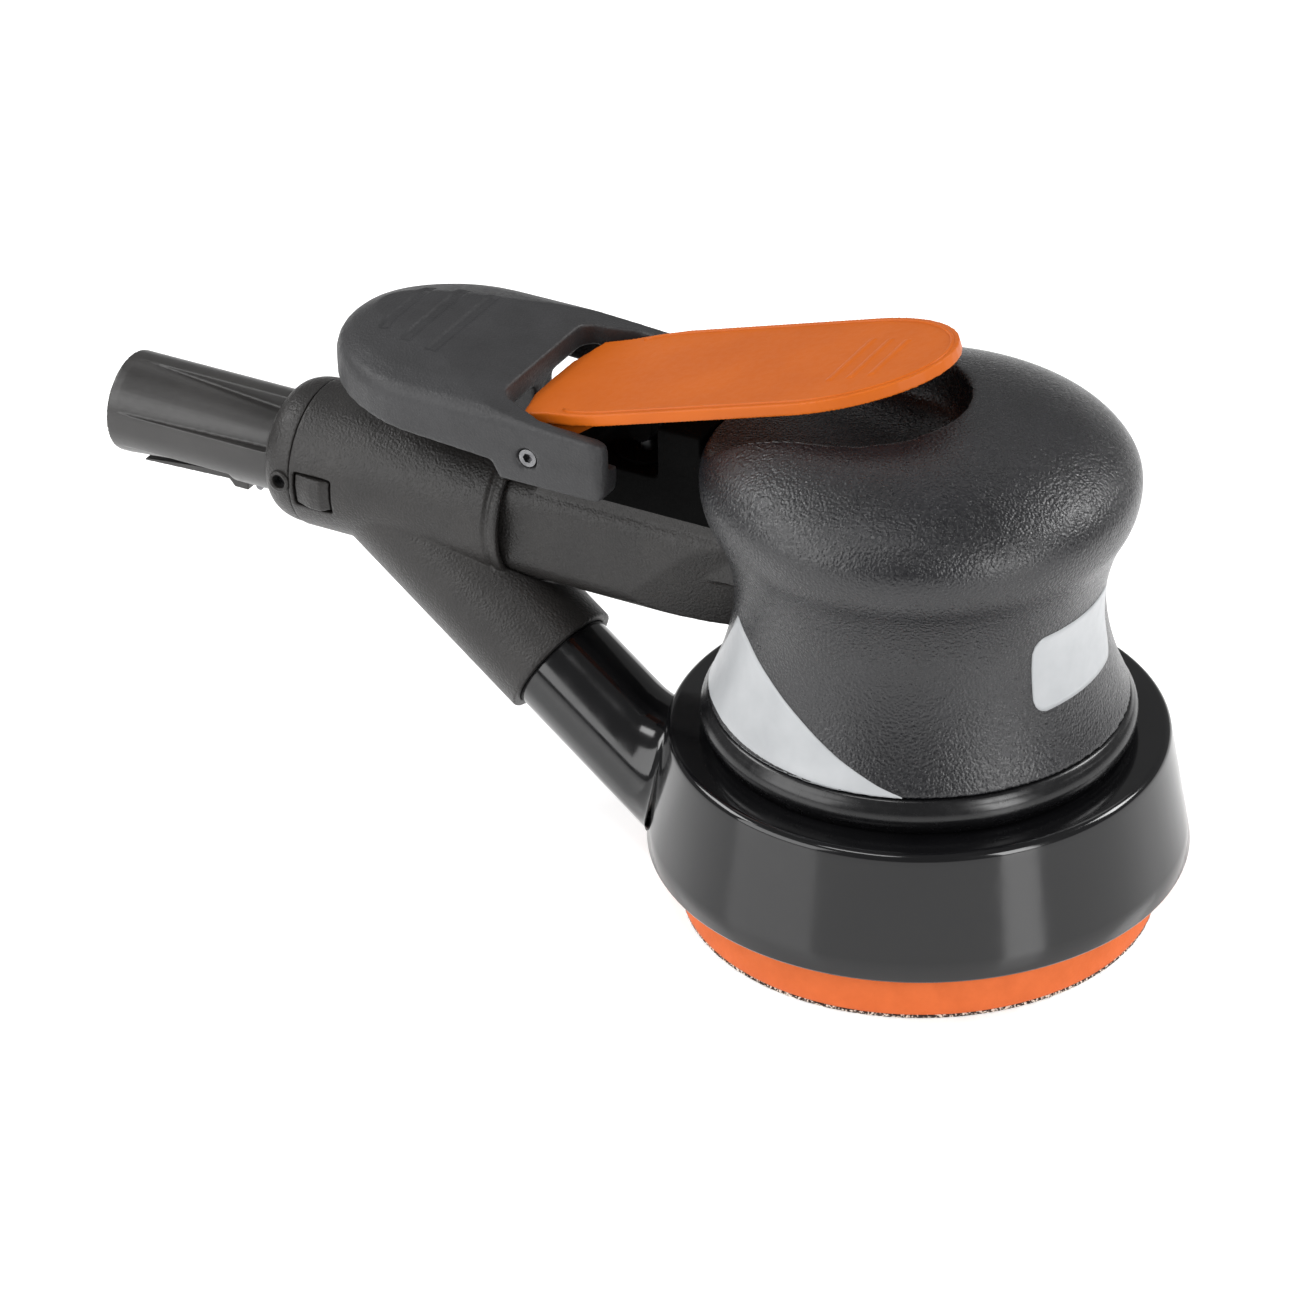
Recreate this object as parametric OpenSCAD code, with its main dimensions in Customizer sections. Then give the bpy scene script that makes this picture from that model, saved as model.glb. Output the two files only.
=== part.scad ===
// Air-powered random orbital palm sander with a vacuum shroud.
// Frame: +Z up, the pad's face on z = 0, the motor axis on X = Y = 0, the handle towards -X.

/* [Pad and shroud] */
// Diameter of the sanding pad
pad_d = 88.9; // [86:0.1:90]
// Orbit diameter: the pad axis turns on a circle of this diameter
orbit_d = 2.38; // [2:0.02:4.8]
// Height of the shroud's lower rim above the pad face
rim_z = 10.9; // [10:0.1:12]
// Outer radius of the shroud at its lower rim
rim_r = 50.3; // [50:0.1:52]
// Outer radius of the shroud at its shoulder
shoulder_r = 46.4; // [46:0.1:48]

/* [Head] */
// Radius of the motor bore in the housing
motor_r = 26.2; // [26:0.1:26.4]
// Height of the palm grip's crown
crown_z = 102.3; // [102:0.1:104]
// Half-width of the lever recess in the crown
recess_r = 18.8; // [18:0.1:20]

/* [Handle] */
// Height of the handle axis
handle_z = 59.2; // [58.5:0.1:60]
// Half-width of the square handle across its flats
handle_half = 10.9; // [10.8:0.1:11]
// Outer radius of the vacuum sleeve round the handle
sleeve_r = 14.3; // [14.2:0.1:15]
// X of the rear edge of the sleeve
sleeve_rear_x = -126.2; // [-127:0.1:-126]
// X of the open end of the hose fitting
fitting_rear_x = -169.8; // [-172:0.1:-168]

/* [Throttle] */
// X of the lever pin
pin_x = -69.4; // [-70:0.1:-69]
// Height of the lever pin
pin_z = 83; // [82.5:0.1:83.5]
// Slope of the released lever in degrees
lever_slope = 17.4; // [16.5:0.1:18]
// Half-width of the lever
lever_half = 18.4; // [18:0.1:18.6]

/* [Hidden] */
$fn = 96;

fit = 0.05;              // radial clearance of a running fit
orbit = orbit_d / 2;
orbit_angle = -60;       // where the pad axis stands at rest, about the motor axis
pad_r = pad_d / 2;

// Pad stack
hook_t = 1.1;
foam_top = 12.6;
plate_z = 11;
plate_t = 2.4;
plate_r = 36;
stud_r = 3.97;           // 5/16 in stud

// Shroud
shoulder_z = 34;
shroud_top = 35.5;
shroud_wall = 2;
neck_r = 34.5;           // neck of the lock ring that carries the shroud

// Lock ring and housing
ring_z = 35.6;
ring_top = 42.4;
ring_r = 40.2;
skirt_top = 50;
thread_r = 29.5;
cup_r = 30.6;
cup_foot_r = 33.4;
cup_foot_z = 52;
cup_roof = 82;
cup_top = 86;

// Motor stack
lower_plate_z = [50, 56];
cylinder_z = [56, 74];
upper_plate_z = [74, 82];
bore_offset = 1.7;       // the cylinder's bore sits off the rotor axis
cylinder_bore_r = 20.6;
rotor_r = 18.8;
vane_count = 5;
vane_t = 2;
shaft_r = 6;
tail_r = 4;

// Handle insides
bushing_r = 7;
bushing_x = -127;
inlet_thread_r = 5.56;   // tapping size of a 1/4 in pipe thread
thread_depth = 14;
inlet_r = 3.5;
handle_corner = 6;
handle_r = (handle_half - handle_corner) * sqrt(2) + handle_corner;   // to the corners
exhaust_z = handle_z - 7.4;
exhaust_r = 2.4;
valve_x = -56;
chamber_r = 5;
chamber_floor = handle_z - 3.6;
seat_z = [65.6, 67.4];
block_top = 78;
neck_top = 84.5;
guard_top = 88.5;
stem_r = 2;
stem_top = block_top + 2.8;
regulator_x = -68;
regulator_r = 4.2;

// Vacuum sleeve and its branch
sleeve_front_x = -81;
branch_x = -116.2;
branch_r = 12.2;
branch_len = 53;
branch_dir = [0, 90 + 30.4, -9.75];
tube_r = 10.4;
tube_wall = 1.8;
tube_from = 40.5;
tube_to = 84;

// Rear end
ring_rear_x = -132.9;
ring_pin_x = -128.2;
flange_x = [-131.6, -128.8];
flange_r = 10.8;
fitting_r = 9.9;
fitting_bore_r = 5.9;
hose_r = 7.4;            // socket for the air hose's end fitting
hose_depth = 14;
pocket_floor_r = [9.95, 6.9];
pocket_end_x = [-134, -134, -143.5];   // the lower pocket stops short of the latch's pin
latch_pivot = [-138.6, 50.8];
latch_pin_r = 0.8;

// Lever
lever_front = 80.8;       // along the lever, from the pin to the tip
lever_rear = 5;        // along the lever, from the pin to the rear edge
lever_lift = 6.5;        // the lever's top above the pin, square to the lever
lever_t = 1.6;
lever_lip = 0.7;
lever_nose = 25;
pin_r = 1.75;

// A shape built along +Z, laid along the handle axis: its z becomes x
module along_handle() translate([0, 0, handle_z]) rotate([0, 90, 0]) children();

// A round bar on the handle axis between two X values
module bar(x0, x1, r) translate([x0, 0, 0]) along_handle() cylinder(h = x1 - x0, r = r);

// A tube standing on z0
module ring(z0, z1, r_out, r_in)
    translate([0, 0, z0]) difference() {
        cylinder(h = z1 - z0, r = r_out);
        translate([0, 0, -1]) cylinder(h = z1 - z0 + 2, r = r_in);
    }

// A cylinder along Y through (x, z)
module cross_bar(x, z, y0, y1, r) translate([x, y1, z]) rotate([90, 0, 0]) cylinder(h = y1 - y0, r = r);

// Shapes laid along the branch: z runs from the handle axis towards the shroud
module along_branch() translate([branch_x, 0, handle_z]) rotate(branch_dir) children();

// Shapes on the pad's own axis, which the balancer carries round the motor axis
module on_orbit() rotate(orbit_angle) translate([orbit, 0, 0]) rotate(-orbit_angle) children();

// Points on a smooth curve through the given points (Catmull-Rom)
function spline_point(a, b, c, d, t) =
    0.5 * (2 * b + (c - a) * t + (2 * a - 5 * b + 4 * c - d) * t * t
        + (3 * b - a - 3 * c + d) * t * t * t);
function spline(p, n = 4) = [
    for (i = [0 : len(p) - 2], k = [0 : n - 1])
        spline_point(p[max(i - 1, 0)], p[i], p[i + 1], p[min(i + 2, len(p) - 1)], k / n),
    p[len(p) - 1]
];

// Points on an arc
function arc(cx, cy, r, a0, a1, n = 8) =
    [for (i = [0 : n]) let (a = a0 + (a1 - a0) * i / n) [cx + r * cos(a), cy + r * sin(a)]];

// ---------- pad ----------

module hook_face() color("#6b5d4c")
    on_orbit() cylinder(h = hook_t, r = pad_r);

module pad_foam() color("#f0732f")
    on_orbit() difference() {
        translate([0, 0, hook_t]) cylinder(h = foam_top - hook_t, r = pad_r - 0.25);
        translate([0, 0, plate_z]) cylinder(h = 5, r = plate_r);
    }

module pad_plate() color("#2b2b2b")
    on_orbit() translate([0, 0, plate_z]) {
        cylinder(h = plate_t, r = plate_r);
        cylinder(h = plate_t + 1.2, r = 9);
        cylinder(h = 12, r = stud_r - fit);
    }

// ---------- spindle and balancer ----------

module spindle() color("silver")
    on_orbit() difference() {
        union() {
            translate([0, 0, 14.7]) cylinder(h = 4.5, r = 9);
            translate([0, 0, 19.2]) cylinder(h = 17.6, r = 5);
        }
        translate([0, 0, 14]) cylinder(h = 12, r = stud_r);
        for (s = [-1, 1]) translate([s * 12, 0, 16]) cube([8, 30, 4], center = true);
    }

module spindle_bearing_inner() color("silver")
    on_orbit() {
        ring(19.4, 27.4, 7.6, 5);
        ring(28.4, 36.4, 7.6, 5);
    }

module spindle_bearing_outer() color("silver")
    on_orbit() {
        ring(19.4, 27.4, 13, 10.2);
        ring(28.4, 36.4, 13, 10.2);
    }

module bearing_clip() color("gray")
    on_orbit() translate([0, 0, 18]) difference() {
        cylinder(h = 1.3, r = 13.9);
        translate([0, 0, -1]) cylinder(h = 4, r = 11.4);
        translate([0, 0, -1]) rotate(20) cube([20, 5, 4]);
    }

module balancer() color("darkgray") difference() {
    union() {
        on_orbit() translate([0, 0, 17]) cylinder(h = 22, r = 15.6);
        translate([0, 0, 37]) cylinder(h = 10, r = 9);
        translate([0, 0, 47]) cylinder(h = 27.4, r = shaft_r);
        translate([0, 0, 74.4]) cylinder(h = 7.2, r = tail_r);
        intersection() {
            translate([0, 0, 21]) cylinder(h = 13, r = 29);
            rotate(orbit_angle) translate([-30, -30, 20]) cube([22, 60, 20]);
        }
    }
    on_orbit() {
        translate([0, 0, 16]) cylinder(h = 20.4, r = 13);
        translate([0, 0, 17.8]) cylinder(h = 1.6, r = 14);
        translate([0, 0, 16]) cylinder(h = 21.6, r = 8);
    }
    translate([shaft_r - 1, -1.5, 60]) cube([3, 3, 10]);
}

// ---------- motor ----------

module rotor_key() color("gray")
    translate([shaft_r - 1, -1.5, 60]) cube([2.6, 3, 10]);

module vane_slots(depth, h, t)
    for (i = [0 : vane_count - 1]) rotate((i + 0.5) * 360 / vane_count)
        translate([rotor_r - depth, -t / 2, 0]) cube([depth + 1, t, h]);

module rotor() color("dimgray")
    translate([0, 0, cylinder_z[0] + 0.1]) difference() {
        cylinder(h = 17.8, r = rotor_r);
        translate([0, 0, -1]) cylinder(h = 20, r = shaft_r);
        translate([0, 0, -1]) vane_slots(9, 20, vane_t + 0.1);
        translate([shaft_r - 1, -1.5, 3.9]) cube([2.6, 3, 10]);
    }

module rotor_vanes() color("#8a6b45")
    translate([0, 0, cylinder_z[0] + 0.15]) intersection() {
        vane_slots(8.8, 17.7, vane_t);
        cylinder(h = 17.7, r = rotor_r);
    }

module dowel_hole(z0, z1, r) translate([0, 23.6, z0]) cylinder(h = z1 - z0, r = r);

module motor_cylinder() color("slategray") difference() {
    ring(cylinder_z[0], cylinder_z[1], motor_r - fit, 0.001);
    translate([0, -bore_offset, cylinder_z[0] - 1]) cylinder(h = 20, r = cylinder_bore_r);
    dowel_hole(40, 90, 1.25);
    for (z = [60, 69.6]) translate([-21, 0, z]) rotate([0, -90, 0]) cylinder(h = 10, r = 1.6);
}

module upper_end_plate() color("slategray") difference() {
    translate([0, 0, upper_plate_z[0]]) cylinder(h = upper_plate_z[1] - upper_plate_z[0], r = motor_r - fit);
    translate([0, 0, upper_plate_z[0] - 1]) cylinder(h = 10, r = 7);
    translate([0, 0, upper_plate_z[1] - 7.2]) cylinder(h = 10, r = 11);
    dowel_hole(70, 90, 1.25);
}

module upper_bearing_outer() color("silver") ring(74.85, 81.85, 11, 8.8);
module upper_bearing_inner() color("silver") ring(74.6, 81.6, 6.2, tail_r);

module lower_end_plate() color("slategray") difference() {
    union() {
        translate([0, 0, lower_plate_z[0]]) cylinder(h = 6, r = motor_r - fit);
        translate([0, 0, 46.6]) cylinder(h = 4, r = 17);
    }
    translate([0, 0, 46]) cylinder(h = 8.8, r = 14);
    translate([0, 0, 46]) cylinder(h = 12, r = 9.4);
    dowel_hole(50.6, 90, 1.25);
}

module lower_bearing_outer() color("silver") ring(46.8, 54.8, 14, 11.4);
module lower_bearing_inner() color("silver") ring(47, 55, 8.6, shaft_r);
module cylinder_dowel() color("silver") dowel_hole(50.8, 84, 1.25);

// ---------- housing ----------

// Bar of rounded square section on the handle axis
module square_bar(x0, x1, grow = 0) translate([x0, 0, 0]) along_handle() linear_extrude(height = x1 - x0)
    polygon([
        for (q = [0 : 3]) let (c = handle_half - handle_corner, a = 90 * q + 45)
            each arc(c * sign(cos(a)), c * sign(sin(a)), handle_corner + grow, 90 * q, 90 * q + 90)
    ]);

// The handle: a square bar whose lower edges are cut by slanting flats towards the head
module handle(x0, x1, grow = 0) difference() {
    square_bar(x0, x1, grow);
    for (m = [0, 1]) mirror([0, m, 0]) translate([-43.7, -11 - grow, handle_z + 4.5])
        rotate([13.7, 0, 12.9]) translate([-20, -12, -35]) cube([50, 12, 60]);
}

// Upright block between the rest's arms, its neck to the head, its guard behind the grip and the lever's ear
module valve_block() {
    translate([-75, -9, handle_z]) cube([26, 18, block_top - handle_z]);
    translate([-49.2, -9, handle_z]) cube([22, 18, neck_top - handle_z]);
    translate([-49.2, -9, handle_z]) cube([9, 18, guard_top - handle_z]);
    cross_bar(pin_x, pin_z, -9, 9, 3.4);
    translate([pin_x - 3.4, -9, block_top - 2]) cube([6.8, 18, pin_z - block_top + 2]);
}

module motor_housing() color("#3a3a3c") difference() {
    union() {
        translate([0, 0, 42.6]) cylinder(h = cup_top - 42.6, r = cup_r);
        translate([0, 0, 42.6]) cylinder(h = cup_foot_z - 42.6, r = cup_foot_r);
        handle(-101, -27);
        bar(-118, -101, 8.2);
        valve_block();
    }
    translate([0, 0, 40]) cylinder(h = cup_roof - 40, r = motor_r);
    translate([0, 0, 40]) cylinder(h = skirt_top - 40 + 0.1, r = thread_r);
    dowel_hole(80, 84.2, 1.25);
    bar(-119, valve_x, inlet_r);
    bar(-119, -111.3, bushing_r);
    translate([0, 0, exhaust_z - handle_z]) bar(-102, -25, exhaust_r);
    translate([0, 0, exhaust_z - handle_z]) bar(-102, -94, exhaust_r + 0.5);
    translate([0, 0, 69.6 - handle_z]) bar(valve_x, -25, exhaust_r);
    translate([-29.4, -1.8, exhaust_z - 1.6]) cube([4, 3.6, 10.2]);
    translate([valve_x, 0, chamber_floor]) cylinder(h = 30, r = chamber_r);
    cross_bar(pin_x, pin_z, -11, 11, pin_r);
    cross_bar(regulator_x, handle_z, -5.4, 14, regulator_r + fit);
}

// Profile of the grip: bell foot, waist, bulge and shallow crown
grip_side = spline([
    [38.9, 42.5], [36.7, 47.8], [34.8, 54.5], [33.8, 61.5], [33.9, 67], [34.9, 72],
    [36.6, 77], [39.2, 82.4], [39.8, 88], [37.5, 92.2], [33.4, 95.6], [27.5, 98.6],
    [20, 100.7], [10, 101.9], [0, crown_z]
]);

// Half-section of the lever recess: a flat floor with rounded corners and steep walls
recess_floor = 89.2;
recess_half = concat(
    [[0, recess_floor]],
    spline([[9, recess_floor], [14, 89.7], [17.4, 90.9], [recess_r - 0.2, 92.8], [recess_r, 97],
        [recess_r, 102.2], [recess_r + 0.8, 107]]),
    [[0, 107]]
);

module lever_recess() translate([-10.8, 0, 0]) {
    rotate_extrude() polygon(recess_half);
    rotate([90, 0, -90]) linear_extrude(height = 40) {
        polygon(recess_half);
        mirror([1, 0]) polygon(recess_half);
    }
}

module grip_cover() color("#2c2c2e") difference() {
    rotate_extrude() polygon(concat([[0, 42.5]], grip_side));
    translate([0, 0, 40]) cylinder(h = cup_top - 40 + fit, r = cup_r + fit);
    translate([0, 0, 40]) cylinder(h = cup_foot_z - 40 + fit, r = cup_foot_r + fit);
    lever_recess();
    handle(-60, -27, fit);
    translate([-60, -9.1, handle_z]) cube([33, 18.2, neck_top + 0.1 - handle_z]);
}

module lock_ring() color("#1c1c1d") difference() {
    union() {
        rotate_extrude() polygon(concat(
            [[20, ring_z], [39.2, ring_z]],
            arc(ring_r - 3.4, (ring_z + ring_top) / 2, 3.4, -50, 50, 6),
            [[38.8, ring_top], [20, ring_top]]
        ));
        translate([0, 0, ring_top - 1]) cylinder(h = skirt_top - ring_top + 1, r = thread_r - fit);
        translate([0, 0, 26.6]) cylinder(h = ring_z - 26, r = neck_r);
    }
    translate([0, 0, 20]) cylinder(h = 21, r = 31);
    translate([0, 0, 20]) cylinder(h = 40, r = 20);
}

// ---------- shroud ----------

shroud_side = concat(
    [[rim_r - 0.5, rim_z], [rim_r, rim_z + 0.6], [shoulder_r + 0.2, shoulder_z - 2.6]],
    arc(shoulder_r - 2.8, shroud_top - 3, 3, 6, 90, 6)
);

module shroud() color("#0c0c0d") difference() {
    union() {
        rotate_extrude() polygon(concat([[0, rim_z]], shroud_side, [[0, shroud_top]]));
        along_branch() translate([0, 0, tube_from]) cylinder(h = tube_to - tube_from, r = tube_r);
    }
    rotate_extrude() polygon([
        [0, rim_z - 5], [rim_r - shroud_wall, rim_z - 5], [rim_r - shroud_wall, rim_z],
        [shoulder_r - shroud_wall - 0.2, shroud_top - shroud_wall], [0, shroud_top - shroud_wall]
    ]);
    translate([0, 0, 30]) cylinder(h = 10, r = neck_r + fit);
    along_branch() translate([0, 0, tube_from - 1]) cylinder(h = tube_to - tube_from, r = tube_r - tube_wall);
}

// ---------- vacuum sleeve ----------

module vacuum_sleeve() color("#343434") difference() {
    union() {
        bar(sleeve_rear_x, sleeve_front_x, sleeve_r);
        along_branch() cylinder(h = branch_len, r = branch_r);
    }
    bar(-102, -70, handle_r + fit);
    bar(sleeve_rear_x - 1, -101, sleeve_r - 2);
    along_branch() cylinder(h = branch_len, r = tube_r - tube_wall);
    along_branch() translate([0, 0, tube_from - 0.2]) cylinder(h = branch_len, r = tube_r + fit);
    tab_windows(0);
}

// Two square windows for the end ring's tabs
module tab_windows(gap)
    for (a = [4, 184]) translate([0, 0, handle_z]) rotate([a, 0, 0])
        translate([-125.3 + gap, -sleeve_r - 2, -3.6 + gap]) cube([8.3 - 2 * gap, 5, 7.2 - 2 * gap]);

module end_ring() color("#343434") difference() {
    union() {
        along_handle() translate([0, 0, ring_rear_x]) rotate_extrude() polygon(concat(
            [[0, 0]], [for (t = [90 : -10 : 0]) [11 + 3.1 * cos(t), 5.9 - 5.9 * sin(t)]],
            [[sleeve_r - 0.2, 6.6], [0, 6.6]]
        ));
        bar(-127, -114, sleeve_r - 2.05);
        intersection() {
            tab_windows(0.5);
            bar(-127, -114, sleeve_r - 0.4);
        }
    }
    bar(flange_x[0] - 0.2, -113, flange_r + 0.2);
    bar(ring_rear_x - 1, -131, fitting_r + 0.4);
    cross_bar(ring_pin_x, handle_z, -16, -10, 1.5);
}

// Spring pin that locks the ring to the sleeve's end
module ring_pin() color("gray") cross_bar(ring_pin_x, handle_z, -12.6, -11.2, 1.5);

module latch_pin() color("gray") cross_bar(latch_pivot[0], latch_pivot[1], -5.2, 5.2, latch_pin_r);

// Squeeze finger below the fitting, with its nose at the ring's mouth
latch_half = 2.9;
module release_latch() color("#2e2e30") difference() {
    translate([0, latch_half, 0]) rotate([90, 0, 0]) linear_extrude(height = 2 * latch_half) polygon([
        [-133.2, 49.4], [-133.2, 52], [-141.2, 52.1], [-142.8, 50.9], [-155, 49.9], [-166, 48.7],
        [-166.4, 48.2], [-147, 49.1], [-145.8, 47.7], [-142.8, 47.7], [-142.6, 49.4]
    ]);
    cross_bar(latch_pivot[0], latch_pivot[1], -6, 6, latch_pin_r + fit);
}

// Long pockets in the hose fitting: 72 degrees wide, deepening towards the ring
pocket_x = fitting_rear_x + 1.5;
pocket_slope = (pocket_floor_r[0] - pocket_floor_r[1]) / (pocket_end_x[0] - pocket_x);
module fitting_pockets() for (i = [0 : 2])
    translate([pocket_x, 0, 0]) along_handle() difference() {
        rotate([-140, 100, -20][i]) linear_extrude(height = pocket_end_x[i] - pocket_x) polygon([
            [0, 0], [16 * cos(36), -16 * sin(36)], [16, 0], [16 * cos(36), 16 * sin(36)]
        ]);
        translate([0, 0, -1]) cylinder(
            h = 40, r1 = pocket_floor_r[0] + pocket_slope, r2 = pocket_floor_r[0] - 39 * pocket_slope
        );
    }

// Room for the latch: deep at its pivot, shallower under its finger
module latch_slot() {
    half = latch_half + 0.3;
    translate([-142.9, -half, 40]) cube([10.3, 2 * half, 12.45]);
    translate([-155, -half, 40]) cube([14, 2 * half, 11.25]);
    translate([fitting_rear_x - 1, -half, 40]) cube([18, 2 * half, 10.5]);
}

// Swivel hose fitting: barrel with pockets, captive flange and the latch's clevis
module hose_fitting() color("#3c3c3e") difference() {
    union() {
        bar(flange_x[0], flange_x[1], flange_r);
        bar(fitting_rear_x, flange_x[1], fitting_r);
    }
    fitting_pockets();
    latch_slot();
    bar(fitting_rear_x - 1, flange_x[1] + 1, fitting_bore_r);
    bar(fitting_rear_x - 1, fitting_rear_x + hose_depth, hose_r);
    cross_bar(latch_pivot[0], latch_pivot[1], -6, 6, latch_pin_r);
}

// ---------- hand rest and lever ----------

// Outline of the rest seen from above, drawn in by an inset: oval rear, straight sides
rest_half = 22.1;
rest_oval_x = -95.5;
rest_oval_len = 23.8;
arm_front_x = -53.4;
arm_in = 16.2;
slot_rear_x = -78;
rib_rear_x = -108;
rib_half = 3.5;
function rest_outline(inset) = concat(
    [for (a = [90 : 9 : 270]) [
        rest_oval_x + (rest_oval_len - inset / 2) * cos(a),
        (rest_half - inset) * sin(a)
    ]],
    [[arm_front_x + 4, -rest_half + inset], [arm_front_x + 4, rest_half - inset]]
);

// Outline of the hollow below the crown
rest_hollow = concat(
    [for (a = [90 : 9 : 270]) [rest_oval_x + (rest_oval_len - 3.2) * cos(a), (rest_half - 3.7) * sin(a)]],
    [[slot_rear_x + 3, 3.7 - rest_half], [slot_rear_x + 3, rest_half - 3.7]]
);

// How far the outline draws in at each height: tucked foot, full waist, flat shoulder, crown
rest_layers = [
    [1.6, 70], [0.2, 83], [0, 89], [0.5, 90.4], [1.6, 91.5], [5, 93], [9, 94.2], [14, 95.6]
];

// Seen from the side: raised rear edge, deeper arms and a crown that falls to the front
rest_side = concat(
    [[-120, 84.6], [-112, 84], [-104, 83.2], [-98, 82.3], [-90, 81.7], [-77, 80.7], [-75.6, 77.2]],
    arc(arm_front_x - 2.7, 79.9, 2.7, -90, 0, 4), arc(arm_front_x - 2, 87.6, 2, 0, 80, 4),
    spline([[-57, 89.8], [-66, 90.3], [-76, 91.4], [-84, 93], [-94, 94.6], [-106, 95.5], [-121, 95]])
);

// Opening for the lever between the arms, seen from above; the inset narrows it below the lever
module rest_slot(half_front) translate([0, 0, 60]) linear_extrude(height = 40) polygon(concat(
    arc(slot_rear_x + 3.5, arm_in - 3.5, 3.5, 90, 180, 4),
    arc(slot_rear_x + 3.5, 3.5 - arm_in, 3.5, 180, 270, 4),
    [[-68, -half_front], [-40, -half_front], [-40, half_front], [-68, half_front]]
));

module hand_rest() color("#2f2f31") difference() {
    intersection() {
        union() {
            translate([0, 30, 0]) rotate([90, 0, 0]) linear_extrude(height = 60) polygon(rest_side);
            translate([rib_rear_x, -rib_half, 70]) cube([slot_rear_x + 1 - rib_rear_x, 2 * rib_half, 20]);
        }
        hull() for (layer = rest_layers)
            translate([0, 0, layer[1]]) linear_extrude(height = 0.01) polygon(rest_outline(layer[0]));
    }
    for (m = [0, 1]) mirror([0, m, 0]) translate([0, 0, 70]) linear_extrude(height = 40) difference() {
        translate([arm_front_x - 3, rest_half - 3]) square(10);
        translate([arm_front_x - 3, rest_half - 3]) circle(r = 3);
    }
    rest_slot(arm_in);
    intersection() {
        rest_slot(lever_half + 0.6);
        translate([-80, -30, 83.4]) cube([40, 60, 30]);
    }
    // Hollow under the crown, on both sides of the rib that stands on the sleeve
    difference() {
        translate([0, 0, 60]) linear_extrude(height = 27) polygon(rest_hollow);
        translate([rib_rear_x, -rib_half, 60]) cube([slot_rear_x + 1 - rib_rear_x, 2 * rib_half, 30]);
    }
    bar(-130, slot_rear_x, sleeve_r + fit);
    cross_bar(pin_x, pin_z, -25, 19.2, pin_r);
    cross_bar(pin_x, pin_z, -25, -20.6, pin_r + 0.4);
}

// Lever pin with a hex socket, sunk in the near arm
module lever_pin() color("silver") difference() {
    cross_bar(pin_x, pin_z, -21.2, 19.1, pin_r);
    translate([pin_x, -20.2, pin_z]) rotate([90, 0, 0]) cylinder(h = 3, r = 1, $fn = 6);
}

// The lever's own frame: origin on the pin, x forward along the lever, z square to its top
module lever_frame() translate([pin_x, 0, pin_z]) rotate([0, -lever_slope, 0]) children();

// Outline of the lever: bowed rear edge, straight sides and an oval nose
nose_x = lever_front - lever_nose;
function half_outline(inset) = concat(
    [[-lever_rear + inset, 0], [-lever_rear + 0.2 + inset, -7], [-lever_rear + 1.4 + inset, -11],
        [-2.4 + inset, -15.4 + inset], [3, -15.9 + inset], [9, -17.5 + inset], [15, -lever_half + inset]],
    [for (a = [-90 : 7.5 : 0]) [nose_x + (lever_nose - inset) * cos(a), (lever_half - inset) * sin(a)]]
);
function mirrored(p) = concat(p, [for (i = [len(p) - 2 : -1 : 1]) [p[i][0], -p[i][1]]]);

// Cheek of the lever: a plate from the pin up to the lever
cheek_y = [12.9, 15.3];
module lever_cheek() rotate([90, 0, 0]) linear_extrude(height = cheek_y[1] - cheek_y[0])
    polygon(concat(arc(0, 0, 3.4, 170, 290, 6), [
        [7.9, 1.5], [16.3, lever_lift - 2.1], [16.3, lever_lift - 1], [-3, lever_lift - 1]
    ]));

// Rounded foot under the lever that pushes the valve stem
foot_r = 2.5;
foot_half = 3.5;
foot_z = stem_top + 0.3 + foot_r;
module lever_foot() {
    cross_bar(valve_x, foot_z, -foot_half, foot_half, foot_r);
    translate([valve_x - foot_r, -foot_half, foot_z]) cube([2 * foot_r, 2 * foot_half, 9.3]);
}

module throttle_lever() color("#d2672d") difference() {
    union() {
        lever_frame() {
            translate([0, 0, lever_lift - lever_t - lever_lip]) difference() {
                linear_extrude(height = lever_t + lever_lip) polygon(mirrored(half_outline(0)));
                translate([0, 0, -1]) linear_extrude(height = lever_lip + 1)
                    polygon(mirrored(half_outline(2)));
            }
            translate([0, -cheek_y[0], 0]) lever_cheek();
            translate([0, cheek_y[1], 0]) lever_cheek();
        }
        lever_foot();
    }
    cross_bar(pin_x, pin_z, -17, 17, pin_r + fit);
}

// ---------- throttle valve ----------

module valve_seat() color("peru") translate([valve_x, 0, 0]) ring(seat_z[0], seat_z[1], chamber_r, 3);

module valve_cap() color("#26262a") translate([valve_x, 0, 0]) {
    ring(72.4, block_top, chamber_r, stem_r + fit);
    ring(block_top, block_top + 0.8, 6.4, stem_r + fit);
}

module valve_stem() color("silver") translate([valve_x, 0, 0]) {
    translate([0, 0, 62]) cylinder(h = stem_top - 62, r = stem_r);
    translate([0, 0, 61.6]) cylinder(h = 2.2, r = 4.3);
    translate([0, 0, 60]) cylinder(h = 2, r = 1.6);
}

module valve_seal() color("black") translate([valve_x, 0, 0]) ring(63.8, 65.4, 4, stem_r);

// Helical spring swept from rings of points round the wire
spring_turns = 4;
spring_r = 3.2;
wire_r = 0.4;
spring_steps = 64;
wire_sides = 8;
spring_z = [chamber_floor + wire_r + 0.05, 61.55 - wire_r];
function spring_height(k) = spring_z[0] + (spring_z[1] - spring_z[0]) * k / spring_steps;
function spring_ring(k) = let (a = 360 * spring_turns * k / spring_steps) [
    for (j = [0 : wire_sides - 1]) let (b = 360 * j / wire_sides, r = spring_r + wire_r * cos(b))
        [r * cos(a), r * sin(a), spring_height(k) + wire_r * sin(b)]
];

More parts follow.
